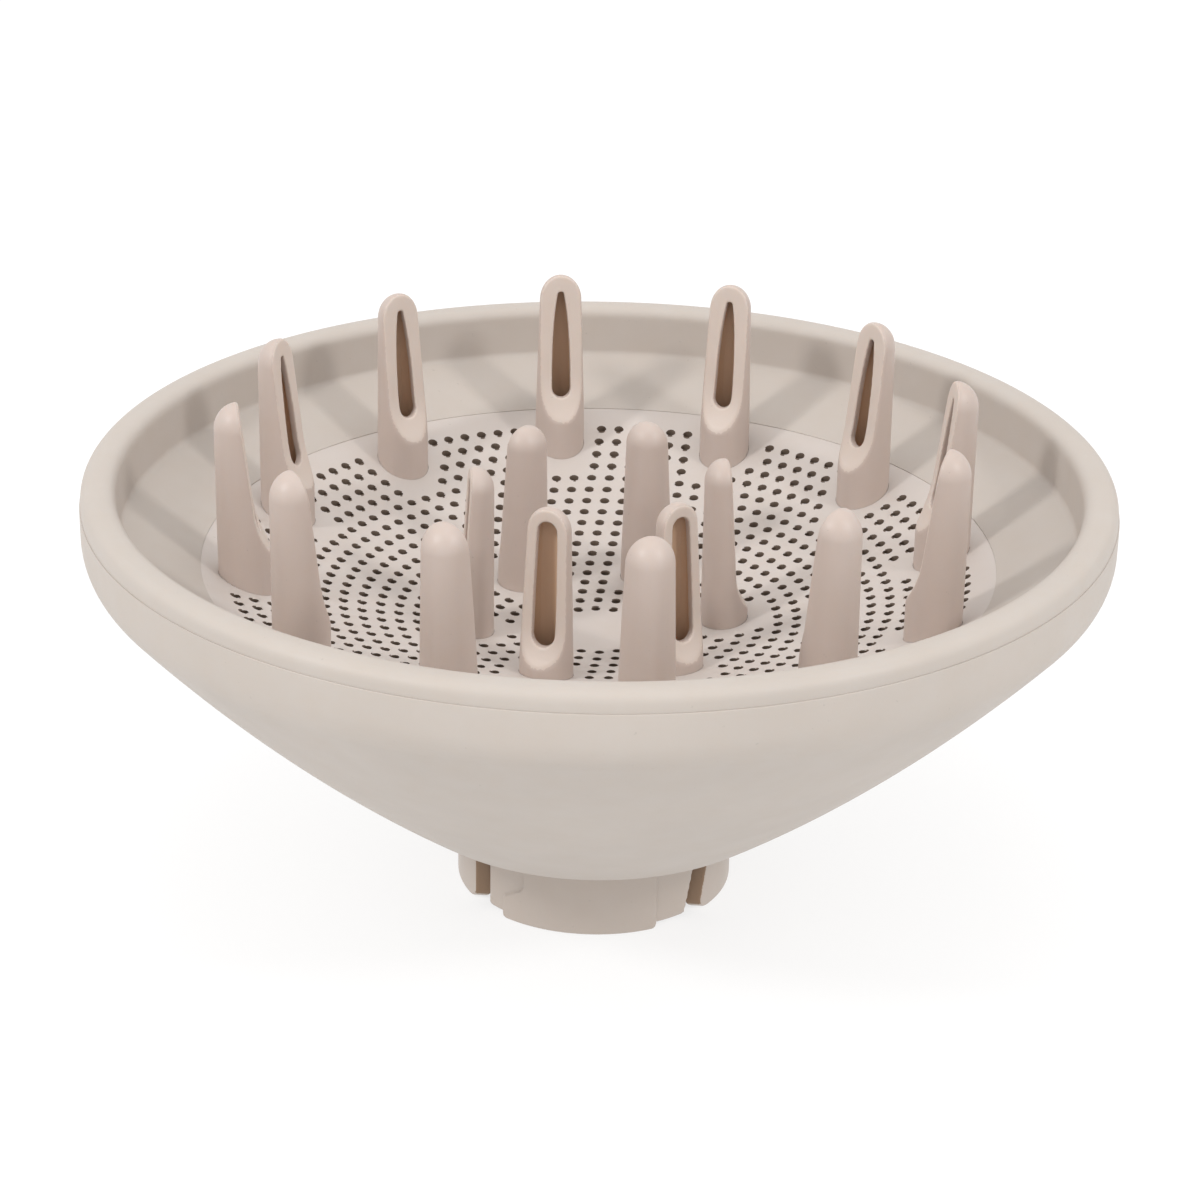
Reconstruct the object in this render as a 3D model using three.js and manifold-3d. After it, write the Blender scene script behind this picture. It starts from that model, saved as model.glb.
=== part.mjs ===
// Hair-dryer diffuser. A shallow round bowl carries a dished, perforated plate with hollow
// slotted prongs. A conical housing closes the back, and a collar with two spring tabs in the
// housing's neck grips the dryer's nozzle. Millimetres, +Z up, origin at the middle of the base.
// The part stands on its collar, mouth up. -Y is the front, where one of the collar's feet is.

import * as THREE from 'three';
import { mergeGeometries, mergeVertices } from 'three/addons/utils/BufferGeometryUtils.js';
import Module from 'manifold-3d';

const wasm = await Module();
wasm.setup();

// ---------------------------------------------------------------- driving dimensions

const GAP = 0.3; // clearance between pieces that touch
const ROUND_STEPS = 48; // facets round each turned piece
const REACH = 40; // length that carries a cutter right through a small piece

const rim = {
  radius: 83,
  height: 73,
  parting: 70, // height of the joint line between bowl and housing
  lipWidth: 5.6,
  lipRise: 2.3,
};

const housing = {
  wall: 1.9,
  floor: 15.1, // underside of the neck
  neckRadius: 30.2, // where the flat neck turns up into the cone
  neckFillet: 6,
  neckSlope: 37.6, // degrees of the cone above level, just outside the neck
  coneBow: 1.8,
  shoulderFillet: 8,
  shoulderHeight: 65.2,
  shoulderSlope: 45,
};

const dish = {
  height: 44.1, // top of the plate at its centre
  sphere: 151, // radius of the plate's hollow upper face
  marginRadius: 63.8, // the hollow ends here in a flat margin
  thickness: 1.5,
  radius: 68,
  bossRadius: 5.2,
  bossDepth: 4.2,
};

const bowl = {
  creaseRadius: 76.9,
  creaseHeight: 64.3,
  creaseFillet: 1.4,
  edgeRadius: 64.3, // inner edge of the sloping wall
  edgeHeight: 58.9,
  seatRadius: 80.7, // outside of the seat that drops into the housing
  seatHeight: 66,
  backRadius: 78.2, // outer face behind the crease
  backHeight: 64.6,
  skirt: 1.6,
  skirtHeight: 57.2,
};

// One hole in four each way. The real plate has rings 3 mm apart.
const perforation = {
  radius: 0.75,
  sides: 6,
  firstRing: 11.5,
  ringStep: 12,
  rings: 5,
  firstCount: 6,
  countStep: 6,
  prongMargin: 1, // least material between a hole and a prong
};

const collar = {
  turn: 3.2, // degrees that the collar is turned from the prongs' symmetry line
  bore: 20.8,
  radius: 22.6,
  padRadius: 23.1,
  tabRadius: 22.95,
  edge: 0.8, // height of the collar's plain lower edge above its feet
  ledge: 14, // height of the ledge that stops the nozzle
  ledgeBore: 19.2,
  flangeRadius: 27,
  flangeThickness: 1.8,
  top: 21.5,
  footAngle: 31.5, // from the middle of each foot to its plain end, in degrees
  stepFootAngle: 36, // and to its stepped end
  padTop: 13.2,
  padJogAngle: 25.5,
  padJogLow: 4,
  padJogHigh: 6.4,
};

const tab = {
  root: 11.4, // height of the tab's upper edge, where it bends
  lift: 0.25, // the tab's tip stays this far off the ground
  cornerRadius: 1.8,
  edgeLow: 13.55, // half width at the tip, across the collar
  edgeHigh: 11.2, // the slanted edge's half width at the root
  slot: 2.4, // slot beside each tab
  bead: 0.6,
  beadLow: 2.2,
  beadHigh: 4.4,
};

const outerProng = {
  name: 'outer_prong',
  count: 12,
  firstAngle: 15,
  backRadius: 61.5,
  slotTowardsAxis: true,
  depth: 9.1,
  width: 8.6,
  topWidth: 7.3,
  tip: 86,
  tipRise: 4.4,
  topDepth: 3.8,
  faceDepth: 5.9, // depth of the slot face at its lower end
  faceLow: 68.5,
  flareLow: 60,
  slotLow: 64.2,
  slotTop: 83,
  slotNarrowing: 77, // height above which the slot narrows
  slotWidth: 3.2,
  slotTopWidth: 1.1,
};

const innerProng = {
  name: 'inner_prong',
  count: 6,
  firstAngle: 45,
  backRadius: 17.1,
  slotTowardsAxis: false,
  depth: 7.7,
  width: 8.8,
  topWidth: 7.1,
  tip: 73.8,
  tipRise: 3.8,
  topDepth: 3.8,
  faceDepth: 5.1,
  faceLow: 54.5,
  flareLow: 47.6,
  slotLow: 50.9,
  slotTop: 71.6,
  slotNarrowing: 62,
  slotWidth: 3.9,
  slotTopWidth: 3.3,
};

const prongStart = 35; // prongs are drawn from this height and trimmed behind the plate
const prongWall = 1.3;
const prongFlange = { overhang: 1.5, thickness: 1.2 };
const prongFlare = { out: 0.55, up: 3.4 }; // where the flare's curve bends, from the face and from its foot

const deflector = {
  radius: 17,
  apex: 30, // lowest point, facing the dryer
  noseRadius: 6,
  noseRise: 1,
  edge: 37.4,
  thickness: 1.4,
  hubRadius: 6.8,
  hubRise: 4,
  stemRadius: 3.2,
};

const plastic = {
  shell: { color: 0xd9cfc6, roughness: 0.5, metalness: 0 },
  plate: { color: 0xddd5cf, roughness: 0.5, metalness: 0 },
  prong: { color: 0xd0bfb3, roughness: 0.45, metalness: 0 },
  collar: { color: 0xcdbfb4, roughness: 0.5, metalness: 0 },
};

// ---------------------------------------------------------------- shape helpers

const radians = THREE.MathUtils.degToRad;

// Points on a circular arc, as [radius, height] or [x, y] pairs. Angles are in degrees.
function arc(x, y, radius, from, to, steps) {
  return Array.from({ length: steps + 1 }, (_, i) => {
    const angle = radians(from + ((to - from) * i) / steps);
    return [x + radius * Math.cos(angle), y + radius * Math.sin(angle)];
  });
}

// Points strictly between two ends, on a shallow curve bowed to the right of the way there.
function bowed([x0, y0], [x1, y1], bow, steps) {
  const length = Math.hypot(x1 - x0, y1 - y0);
  return Array.from({ length: steps - 1 }, (_, i) => {
    const t = (i + 1) / steps;
    const offset = 4 * bow * t * (1 - t);
    return [
      x0 + (x1 - x0) * t + (offset * (y1 - y0)) / length,
      y0 + (y1 - y0) * t - (offset * (x1 - x0)) / length,
    ];
  });
}

// Points on a curve that leaves one end and reaches the other along lines through a corner.
function eased(start, corner, end, steps) {
  const curve = new THREE.QuadraticBezierCurve(...[start, corner, end].map((p) => new THREE.Vector2(...p)));
  return curve.getPoints(steps).map(({ x, y }) => [x, y]);
}

// Solid of revolution about Z. The [radius, height] points run up the outside and down the inside.
function turned(points, steps = ROUND_STEPS) {
  const profile = points.map(([radius, height]) => new THREE.Vector2(radius, height));
  if (profile[0].x > 0) profile.push(profile[0].clone());
  return new THREE.LatheGeometry(profile, steps).rotateX(Math.PI / 2);
}

function outline(points) {
  return new THREE.Shape(points.map(([x, y]) => new THREE.Vector2(x, y)));
}

// Upright prism of a plan outline, from height low to height high.
function uprightPrism(shape, low, high, curveSegments = 5) {
  const depth = high - low;
  return new THREE.ExtrudeGeometry(shape, { depth, bevelEnabled: false, curveSegments }).translate(0, 0, low);
}

// Prism of an outline drawn in (y, z), running along X from x = from to x = to.
function prismAlongX(shape, from, to, curveSegments = 5) {
  const depth = to - from;
  return new THREE.ExtrudeGeometry(shape, { depth, bevelEnabled: false, curveSegments })
    .rotateY(Math.PI / 2)
    .rotateX(Math.PI / 2)
    .translate(from, 0, 0);
}

// Prism of an outline drawn in (x, z), running along Y across the middle.
function prismAlongY(shape, width, curveSegments = 5) {
  return new THREE.ExtrudeGeometry(shape, { depth: width, bevelEnabled: false, curveSegments })
    .rotateX(Math.PI / 2)
    .translate(0, width / 2, 0);
}

// A manifold solid made from a closed three.js geometry.
function solid(geometry) {
  const bare = geometry.clone();
  bare.deleteAttribute('normal');
  bare.deleteAttribute('uv');
  const merged = mergeVertices(bare, 1e-4);
  const index = merged.index.array;
  const triangles = [];
  for (let i = 0; i < index.length; i += 3) {
    const [a, b, c] = [index[i], index[i + 1], index[i + 2]];
    if (a !== b && b !== c && c !== a) triangles.push(a, b, c);
  }
  return new wasm.Manifold(
    new wasm.Mesh({
      numProp: 3,
      vertProperties: Float32Array.from(merged.attributes.position.array),
      triVerts: Uint32Array.from(triangles),
    }),
  );
}

function geometryOf(manifold) {
  const { vertProperties, triVerts } = manifold.getMesh();
  const geometry = new THREE.BufferGeometry();
  geometry.setAttribute('position', new THREE.BufferAttribute(vertProperties, 3));
  geometry.setIndex(new THREE.BufferAttribute(triVerts, 1));
  geometry.computeVertexNormals();
  return geometry;
}

function piece(name, geometry, finish) {
  const mesh = new THREE.Mesh(geometry, new THREE.MeshStandardMaterial(finish));
  mesh.name = name;
  return mesh;
}

// ---------------------------------------------------------------- housing, bowl and plate

// The cone's line from the neck to the rim, on its outer face or set in by the wall.
function coneLine(inset) {
  const { floor, neckRadius, neckFillet, neckSlope, coneBow } = housing;
  const { shoulderFillet, shoulderHeight, shoulderSlope } = housing;
  const neck = arc(neckRadius, floor + neckFillet, neckFillet - inset, -90, neckSlope - 90, 2);
  const shoulderRadius = rim.radius - shoulderFillet;
  const shoulder = arc(shoulderRadius, shoulderHeight, shoulderFillet - inset, -shoulderSlope, 0, 3);
  return [...neck, ...bowed(neck.at(-1), shoulder[0], coneBow, 4), ...shoulder];
}

function rearCone() {
  const { wall, floor } = housing;
  const hole = collar.radius + GAP;
  const top = rim.parting - GAP / 2;
  return turned([
    [hole, floor],
    ...coneLine(0),
    [rim.radius, top],
    [rim.radius - wall, top],
    ...coneLine(wall).reverse(),
    [hole, floor + wall],
  ]);
}

// Height of a face parallel to the plate's upper face, a distance below it (or above, if negative).
function dishHeight(radius, below = 0) {
  const centre = dish.height + dish.sphere;
  return centre - Math.sqrt((dish.sphere + below) ** 2 - Math.min(radius, dish.marginRadius) ** 2);
}

// Points on such a face, from the axis out to the plate's edge.
function dishLine(below) {
  const steps = 5;
  const hollow = Array.from({ length: steps + 1 }, (_, i) => (dish.marginRadius * i) / steps);
  return [...hollow, dish.radius].map((radius) => [radius, dishHeight(radius, below)]);
}

function frontBowl() {
  const lipRadius = rim.radius - rim.lipWidth / 2;
  const lipBase = rim.height - rim.lipRise;
  const lip = arc(0, 0, 1, 0, 180, 6).map(([x, y]) => [
    lipRadius + (x * rim.lipWidth) / 2,
    lipBase + y * rim.lipRise,
  ]);
  const { creaseRadius, creaseHeight, creaseFillet, edgeRadius, edgeHeight } = bowl;
  const slope = (creaseHeight - edgeHeight) / (creaseRadius - edgeRadius);
  const crease = eased(
    [creaseRadius, creaseHeight + creaseFillet],
    [creaseRadius, creaseHeight],
    [creaseRadius - creaseFillet, creaseHeight - creaseFillet * slope],
    2,
  );
  const plateClear = dish.radius + GAP;
  const outside = plateClear + bowl.skirt;
  return turned([
    [rim.radius, rim.parting + GAP / 2],
    ...lip,
    ...crease,
    [edgeRadius, edgeHeight],
    [edgeRadius, dishHeight(edgeRadius, -GAP)],
    [plateClear, dishHeight(plateClear, -GAP)],
    [plateClear, bowl.skirtHeight],
    [outside, bowl.skirtHeight],
    [outside, dishHeight(outside)],
    [bowl.backRadius, bowl.backHeight],
    [bowl.seatRadius, bowl.seatHeight],
    [bowl.seatRadius, rim.parting + GAP / 2],
  ]);
}

// The places of a prong kind, as angles from the front towards +X.
function prongAngles({ count, firstAngle }) {
  return Array.from({ length: count }, (_, i) => firstAngle + (360 / count) * i);
}

// Turns a shape from lying along +X to the given angle from the front.
const turnTo = (angle) => radians(angle - 90);

function underProng(x, y) {
  return [outerProng, innerProng].some((kind) => {
    const middle = kind.slotTowardsAxis ? kind.backRadius - kind.depth / 2 : kind.backRadius + kind.depth / 2;
    const clear = kind.width / 2 + perforation.radius + perforation.prongMargin;
    return prongAngles(kind).some((angle) => {
      const px = middle * Math.cos(turnTo(angle));
      const py = middle * Math.sin(turnTo(angle));
      return Math.hypot(x - px, y - py) < clear;
    });
  });
}

function perforationPins() {
  const pins = [];
  const { radius, sides, firstRing, ringStep, rings, firstCount, countStep } = perforation;
  const length = 3 * dish.thickness;
  for (let ring = 0; ring < rings; ring += 1) {
    const ringRadius = firstRing + ringStep * ring;
    const count = firstCount + countStep * ring;
    for (let i = 0; i < count; i += 1) {
      const angle = ((i + (ring % 2) / 2) * 2 * Math.PI) / count;
      const x = ringRadius * Math.cos(angle);
      const y = ringRadius * Math.sin(angle);
      if (underProng(x, y)) continue;
      const pin = new THREE.CylinderGeometry(radius, radius, length, sides);
      pins.push(pin.rotateX(Math.PI / 2).translate(x, y, dishHeight(ringRadius, dish.thickness / 2)));
    }
  }
  return solid(mergeGeometries(pins));
}

function prongOpening(kind) {
  const cut = uprightPrism(prongPlan(kind, -GAP), 0, rim.height);
  return solid(placeProng(cut, kind));
}

function perforatedPlate() {
  const { thickness, bossRadius, bossDepth, height } = dish;
  const disc = turned([...dishLine(thickness), ...dishLine(0).reverse()]);
  const socket = deflector.stemRadius + GAP;
  const bossLow = height - thickness - bossDepth;
  const boss = turned(
    [
      [bossRadius, bossLow],
      [bossRadius, height - thickness / 2],
      [socket, height - thickness / 2],
      [socket, bossLow],
    ],
    24,
  );
  let plate = solid(disc).add(solid(boss)).subtract(perforationPins());
  [outerProng, innerProng].forEach((kind) => {
    const opening = geometryOf(prongOpening(kind));
    prongAngles(kind).forEach((angle) => {
      plate = plate.subtract(solid(opening.clone().rotateZ(turnTo(angle))));
    });
  });
  return geometryOf(plate);
}

// ---------------------------------------------------------------- prongs
// A prong is drawn with its back face at x = 0 and its slot face towards +X.

function prongPlan(kind, inset) {
  const shape = new THREE.Shape();
  shape.absellipse(kind.depth / 2, 0, kind.depth / 2 - inset, kind.width / 2 - inset, 0, 2 * Math.PI);
  return shape;
}

// Side view: an upright back, a rounded tip, and a leaning slot face that flares at its foot.
function prongSide(kind, inset) {
  const { depth, tip, tipRise, topDepth, faceDepth, faceLow, flareLow } = kind;
  const shape = new THREE.Shape();
  shape.moveTo(inset, prongStart);
  shape.lineTo(depth - inset, prongStart);
  shape.lineTo(depth - inset, flareLow - inset);
  const bend = [faceDepth + prongFlare.out - inset, flareLow + prongFlare.up - inset];
  shape.quadraticCurveTo(...bend, faceDepth - inset, faceLow);
  const shoulder = tip - tipRise / 2 - inset;
  shape.lineTo(topDepth - inset, shoulder);
  shape.quadraticCurveTo(topDepth - inset, tip - inset, topDepth / 2, tip - inset);
  shape.quadraticCurveTo(inset, tip - inset, inset, shoulder);
  return shape;
}

// Front view: sides that draw in towards a domed tip.
function prongFront(kind, inset) {
  const { width, topWidth, tip, tipRise } = kind;
  const shape = new THREE.Shape();
  shape.moveTo(width / 2 - inset, prongStart);
  shape.lineTo(width / 2 - inset, kind.flareLow);
  shape.lineTo(topWidth / 2 - inset, tip - tipRise);
  shape.absellipse(0, tip - tipRise, topWidth / 2 - inset, tipRise - inset, 0, Math.PI);
  shape.lineTo(-width / 2 + inset, kind.flareLow);
  shape.lineTo(-width / 2 + inset, prongStart);
  return shape;
}

function prongForm(kind, inset) {
  const plan = solid(uprightPrism(prongPlan(kind, inset), prongStart, kind.tip));
  const side = solid(prismAlongY(prongSide(kind, inset), REACH, 2));
  const front = solid(prismAlongX(prongFront(kind, inset), -REACH / 2, REACH / 2, 3));
  return plan.intersect(side).intersect(front);
}

function prongSlot(kind) {
  const { slotLow, slotTop, slotNarrowing, slotWidth, slotTopWidth } = kind;
  const half = slotWidth / 2;
  const shape = new THREE.Shape();
  shape.moveTo(half, slotLow + half);
  shape.lineTo(half, slotNarrowing);
  shape.lineTo(slotTopWidth / 2, slotTop);
  shape.lineTo(-slotTopWidth / 2, slotTop);
  shape.lineTo(-half, slotNarrowing);
  shape.lineTo(-half, slotLow + half);
  shape.absarc(0, slotLow + half, half, Math.PI, 2 * Math.PI);
  return solid(prismAlongX(shape, kind.topDepth / 2, REACH / 2, 3));
}

// Moves a prong's shape out along +X to its place, slot towards the axis or away from it.
function placeProng(geometry, kind) {
  if (kind.slotTowardsAxis) geometry.rotateZ(Math.PI);
  return geometry.translate(kind.backRadius, 0, 0);
}

// A layer parallel to the plate, between two depths below its upper face.
function dishLayer(top, bottom) {
  return solid(turned([...dishLine(bottom), ...dishLine(top).reverse()]));
}

function prong(kind) {
  const flangeTop = dish.thickness + GAP;
  const flangeBottom = flangeTop + prongFlange.thickness;
  const flangePlan = prongPlan(kind, -prongFlange.overhang);
  const flangeColumn = placeProng(uprightPrism(flangePlan, prongStart, kind.tip), kind);
  const flange = solid(flangeColumn).intersect(dishLayer(flangeTop, flangeBottom));
  const below = dishLayer(flangeBottom, flangeBottom + REACH);
  const form = solid(placeProng(geometryOf(prongForm(kind, 0)), kind)).subtract(below);
  const hollow = solid(placeProng(geometryOf(prongForm(kind, prongWall)), kind));
  const slot = solid(placeProng(geometryOf(prongSlot(kind)), kind));
  return geometryOf(form.add(flange).subtract(hollow).subtract(slot));
}

function prongs(kind) {
  const geometry = prong(kind);
  return prongAngles(kind).map((angle, i) => {
    const mesh = piece(`${kind.name}_${String(i + 1).padStart(2, '0')}`, geometry, plastic.prong);
    mesh.rotation.z = turnTo(angle);
    return mesh;
  });
}

// ---------------------------------------------------------------- collar and its spring tabs

// Upright sector of a ring, from the front's left to its right. Angles are in degrees.
function ringSector(innerRadius, outerRadius, fromAngle, toAngle, low, high) {
  const steps = 6;
  const points = [
    ...arc(0, 0, outerRadius, fromAngle - 90, toAngle - 90, steps),
    ...arc(0, 0, innerRadius, toAngle - 90, fromAngle - 90, steps),
  ];
  return solid(uprightPrism(outline(points), low, high));
}

// The raised pad on the front of the collar, whose left edge steps in part-way up, and its foot.
function frontPad() {
  const { bore, padRadius, footAngle, stepFootAngle, edge } = collar;
  const { padJogAngle, padJogLow, padJogHigh, padTop } = collar;
  const wallMiddle = (bore + collar.radius) / 2;
  const foot = ringSector(bore, padRadius, -stepFootAngle, footAngle, 0, 2 * edge);
  const low = ringSector(wallMiddle, padRadius, -stepFootAngle, footAngle, 0, padJogLow);
  const high = ringSector(wallMiddle, padRadius, -padJogAngle, footAngle, 0, padTop);
  const stepAngle = (stepFootAngle + padJogAngle) / 2;
  const step = ringSector(wallMiddle, padRadius, -stepAngle, footAngle, 0, (padJogLow + padJogHigh) / 2);
  return foot.add(low).add(high).add(step);
}

// Side view of a tab's window in the collar (grow = slot width) or of the tab itself (grow = 0).
function tabOutline(grow, low, high) {
  const { edgeLow, edgeHigh } = tab;
  return outline([
    [-edgeLow - grow, low],
    [edgeLow + grow, low],
    [edgeLow + grow, high],
    [-edgeHigh - grow, high],
  ]);
}

function dryerCollar() {
  const { bore, radius, edge, ledge, ledgeBore, flangeRadius, flangeThickness, top } = collar;
  const flange = housing.floor + housing.wall + GAP;
  const tube = solid(
    turned([
      [radius, edge],
      [radius, flange],
      [flangeRadius, flange],
      [flangeRadius, flange + flangeThickness],
      [radius, flange + flangeThickness],
      [radius, top],
      [ledgeBore, top],
      [ledgeBore, ledge],
      [bore, ledge],
      [bore, edge],
    ]),
  );
  const pad = geometryOf(frontPad());
  const window = prismAlongX(tabOutline(tab.slot, -GAP, tab.root + GAP), bore / 2, REACH);
  let body = tube;
  [0, Math.PI].forEach((turn) => {
    body = body.add(solid(pad.clone().rotateZ(turn)));
  });
  [0, Math.PI].forEach((turn) => {
    body = body.subtract(solid(window.clone().rotateZ(turn)));
  });
  return geometryOf(body);
}

// The right-hand spring tab, with the bead inside its tip that snaps over the nozzle's rib.
function clipTab() {
  const { bore, tabRadius } = collar;
  const { lift, root, cornerRadius, bead, beadLow, beadHigh } = tab;
  const ring = solid(
    turned([
      [tabRadius, lift],
      [tabRadius, root],
      [bore, root],
      [bore, beadHigh],
      [bore - bead, (beadLow + beadHigh) / 2],
      [bore, beadLow],
      [bore, lift],
    ]),
  );
  const body = ring.intersect(solid(prismAlongX(tabOutline(0, 0, root), bore / 2, REACH)));
  const past = tab.edgeLow + GAP;
  const corner = tab.edgeLow - cornerRadius;
  const cornerCut = outline([
    [past, -GAP],
    [past, lift + cornerRadius],
    ...arc(corner, lift + cornerRadius, cornerRadius, 0, -90, 5),
    [corner, -GAP],
  ]);
  const cut = prismAlongX(cornerCut, 0, REACH);
  const otherCut = cut.clone().rotateZ(Math.PI).translate(REACH, 0, 0);
  return geometryOf(body.subtract(solid(cut)).subtract(solid(otherCut)));
}

function collarParts() {
  const group = new THREE.Group();
  group.rotation.z = radians(collar.turn);
  const tabGeometry = clipTab();
  const right = piece('clip_tab_right', tabGeometry, plastic.collar);
  const left = piece('clip_tab_left', tabGeometry, plastic.collar);
  left.rotation.z = Math.PI;
  group.add(piece('dryer_collar', dryerCollar(), plastic.collar), right, left);
  return group;
}

// ---------------------------------------------------------------- baffle behind the plate

function airDeflector() {
  const { radius, apex, noseRadius, noseRise, edge, thickness, hubRadius, hubRise, stemRadius } = deflector;
  const stemTop = dish.height - dish.thickness - GAP;
  return turned(
    [
      [0, apex],
      [noseRadius, apex + noseRise],
      [radius, edge],
      [radius, edge + thickness],
      [hubRadius, apex + hubRise],
      [stemRadius, apex + hubRise],
      [stemRadius, stemTop],
      [0, stemTop],
    ],
    36,
  );
}

// ---------------------------------------------------------------- assembly

const diffuser = new THREE.Group();
diffuser.add(
  piece('rear_cone', rearCone(), plastic.shell),
  piece('front_bowl', frontBowl(), plastic.shell),
  piece('perforated_plate', perforatedPlate(), plastic.plate),
  ...prongs(outerProng),
  ...prongs(innerProng),
  collarParts(),
  piece('air_deflector', airDeflector(), plastic.shell),
);

export default diffuser;
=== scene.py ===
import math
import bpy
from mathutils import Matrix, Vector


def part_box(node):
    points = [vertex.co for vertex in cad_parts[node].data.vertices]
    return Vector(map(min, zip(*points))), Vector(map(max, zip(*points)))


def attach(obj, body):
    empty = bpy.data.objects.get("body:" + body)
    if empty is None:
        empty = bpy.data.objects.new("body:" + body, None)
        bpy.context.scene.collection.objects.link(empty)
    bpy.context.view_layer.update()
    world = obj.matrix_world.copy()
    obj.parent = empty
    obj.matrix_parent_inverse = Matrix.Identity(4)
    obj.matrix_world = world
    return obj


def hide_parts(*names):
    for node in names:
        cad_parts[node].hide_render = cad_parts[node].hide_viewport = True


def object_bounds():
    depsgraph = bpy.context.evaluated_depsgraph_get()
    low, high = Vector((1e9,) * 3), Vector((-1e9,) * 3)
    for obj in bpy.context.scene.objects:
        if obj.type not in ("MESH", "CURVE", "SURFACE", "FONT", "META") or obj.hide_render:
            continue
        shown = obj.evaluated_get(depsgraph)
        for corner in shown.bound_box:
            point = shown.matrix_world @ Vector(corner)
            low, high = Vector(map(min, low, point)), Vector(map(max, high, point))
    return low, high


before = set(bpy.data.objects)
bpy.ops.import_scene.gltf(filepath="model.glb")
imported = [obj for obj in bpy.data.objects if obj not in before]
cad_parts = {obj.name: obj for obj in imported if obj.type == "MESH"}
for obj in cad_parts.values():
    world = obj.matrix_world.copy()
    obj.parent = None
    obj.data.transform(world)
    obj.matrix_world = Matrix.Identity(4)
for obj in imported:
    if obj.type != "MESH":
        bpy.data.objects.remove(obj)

# Hair-dryer diffuser: the fine surfaces and the plastics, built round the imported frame.
# Lengths are in millimetres here and become metres in the meshes. -Y is the front, +Z is up.

from types import SimpleNamespace as Sizes

import bmesh
import bpy
import numpy as np
import openvdb
from mathutils import Matrix, Vector
from mathutils.geometry import delaunay_2d_cdt

MM = 0.001

# ---------------------------------------------------------------- sizes

cad_low, cad_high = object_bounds()


def box_mm(node):
    """Lowest and highest corner of a CAD node, in millimetres."""
    return tuple(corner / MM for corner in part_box(node))


bowl_low, bowl_high = box_mm("front_bowl")
cone_low, cone_high = box_mm("rear_cone")
plate_high = box_mm("perforated_plate")[1]
collar_low, collar_high = box_mm("dryer_collar")
tab_low, tab_high = box_mm("clip_tab_right")
deflector_low, deflector_high = box_mm("air_deflector")

REACH = 20.0  # takes a cutting outline, or a field that must not count, well past a small piece
SEAM = 0.06  # hairline between pieces that touch
TURN_STEPS = 192  # divisions round each turned piece
SLOT_MARGIN = 0.4  # how far below a tab's root the painted shade on the faces of its slots begins
SKIN = 0.12  # faces this close to a cutting field get the slots' painted shade
GRID_MARGIN = 0.8  # space left round a piece that is made on a grid
LOW_MARGIN = 0.6  # the same above and below the collar and its tabs, and outside the tabs
BLEND = 0.3  # rounding where two fields meet in a corner
SOFT_BLEND = 0.2  # the same where the corner is barely rounded

rim = Sizes(
    radius=cone_high.x,
    top=bowl_high.z,
    parting=cone_high.z + SEAM / 3,
    band_inset=0.2,
    lip_width=5.6,
    lip_rise=2.3,
    lip_squareness=2.6,
)

cone = Sizes(
    wall=1.9,
    floor=cone_low.z,
    neck_radius=30.2,
    neck_fillet=6.0,
    neck_slope=36.5,
    shoulder_fillet=8.0,
    shoulder_height=65.2,
    shoulder_slope=49.0,
    edge_fillet=0.15,
)

dish = Sizes(
    height=44.1,
    sphere=151.0,
    margin_radius=64.2,
    radius=plate_high.x,
    thickness=1.5,
    edge_band=1.0,
    boss_radius=5.2,
    boss_depth=4.2,
    boss_overlap=0.2,
    boss_fillet=0.4,
    socket_fillet=0.3,
)

bowl = Sizes(
    crease_radius=76.9,
    crease_height=64.3,
    crease_fillet=1.4,
    edge_radius=64.3,
    edge_height=58.55,
    edge_fillet=0.05,
    back_radius=78.2,
    back_height=64.6,
    seat_radius=80.7,
    seat_height=66.0,
    skirt=1.6,
    skirt_low=bowl_low.z,
)

perforation = Sizes(
    radius=0.75,
    chamfer=0.12,
    sides=12,
    first_ring=8.5,
    ring_step=3.0,
    rings=18,
    first_count=18,
    count_step=6,
    side_margin=1.9,
    front_margin=2.9,
    blank_rings=(2.4, 4.8),
    wall_tilt=0.6,
)

collar = Sizes(
    turn=math.radians(3.2),
    bore=20.8,
    radius=22.6,
    pad_radius=23.1,
    tab_radius=22.95,
    foot=collar_low.z,
    edge=0.8,
    ledge=14.0,
    ledge_bore=19.2,
    flange_radius=27.0,
    flange_low=cone.floor + cone.wall + SEAM,
    flange_thickness=1.8,
    top=collar_high.z,
    foot_angle=31.5,
    step_foot_angle=36.0,
    jog_angle=25.5,
    jog_low=4.0,
    jog_high=6.4,
    pad_above_floor=1.0,
    pad_corner=0.8,
    jog_corner=1.2,
    pad_half_turn=1.2,
    pad_rounding=0.35,
    pad_blend=0.25,
    flange_rounding=0.4,
    slot_foot=-2.0,
    rounding=0.5,
    grid_step=0.25,
    faces=50000,
)

tab = Sizes(
    root=tab_high.z,
    low=tab_low.z,
    corner=1.8,
    edge_low=13.55,
    edge_high=11.2,
    slot=2.4,
    bead=0.6,
    bead_low=2.2,
    bead_high=4.4,
    rounding=0.35,
    margin_inside=2.0,
    grid_step=0.16,
    faces=14000,
)

outer_prong = Sizes(
    count=12,
    first_angle=15.0,
    back_radius=61.5,
    inward=True,
    depth=9.1,
    width=8.6,
    top_width=7.3,
    tip=85.95,
    tip_rise=4.4,
    top_depth=3.8,
    face_depth=5.9,
    face_low=68.5,
    flare_low=60.0,
    slot_low=64.2,
    slot_top=83.0,
    slot_narrowing=77.0,
    slot_width=3.2,
    slot_top_width=1.1,
)

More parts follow.
